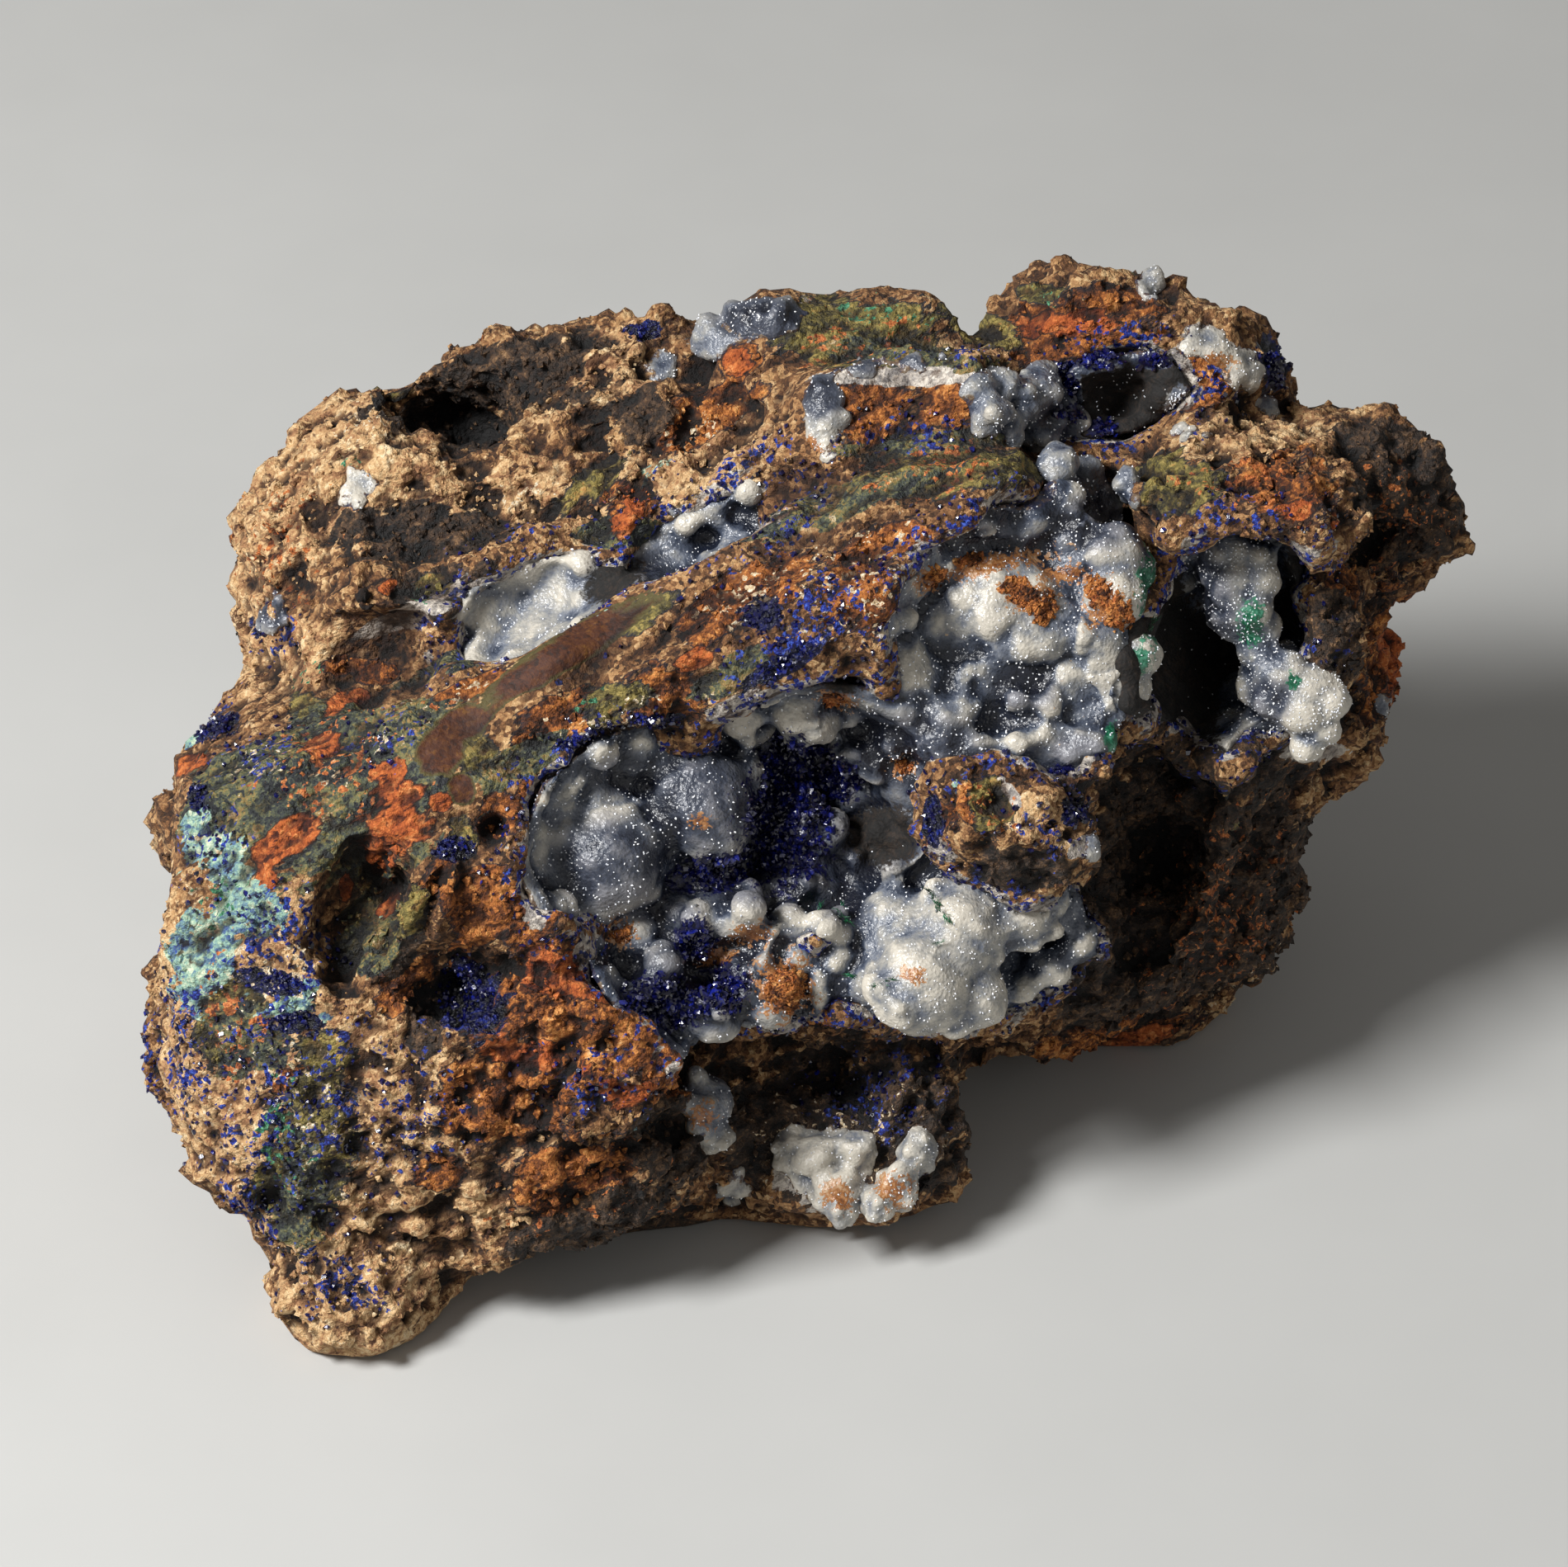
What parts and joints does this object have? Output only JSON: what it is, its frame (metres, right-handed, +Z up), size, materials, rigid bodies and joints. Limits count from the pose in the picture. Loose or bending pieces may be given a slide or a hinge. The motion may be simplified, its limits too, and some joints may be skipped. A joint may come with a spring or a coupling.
{
  "type": "azurite and malachite specimen",
  "caption": "Rough brown iron-oxide rock with open hollows lined by drusy quartz, azurite crystals and small malachite sprays.",
  "frame": {"origin": "centre of the bounding box, on the surface that the specimen stands on", "axes": "+X to the right along the longest side, -Y towards the open hollows, +Z up"},
  "size_m": [0.123, 0.0897, 0.0756],
  "materials": {
    "rock": "rough crumbly iron oxide",
    "quartz": "milky with a sparkling skin of fine crystals",
    "azurite": "glassy crystal faces",
    "malachite": "silky needles"
  },
  "bodies": {
    "root": {"matrix": "rock", "crust_front_hollow": "quartz", "crust_cave": "quartz", "crust_trench": "quartz", "crust_crown_hollow": "azurite"}
  },
  "joints": []
}
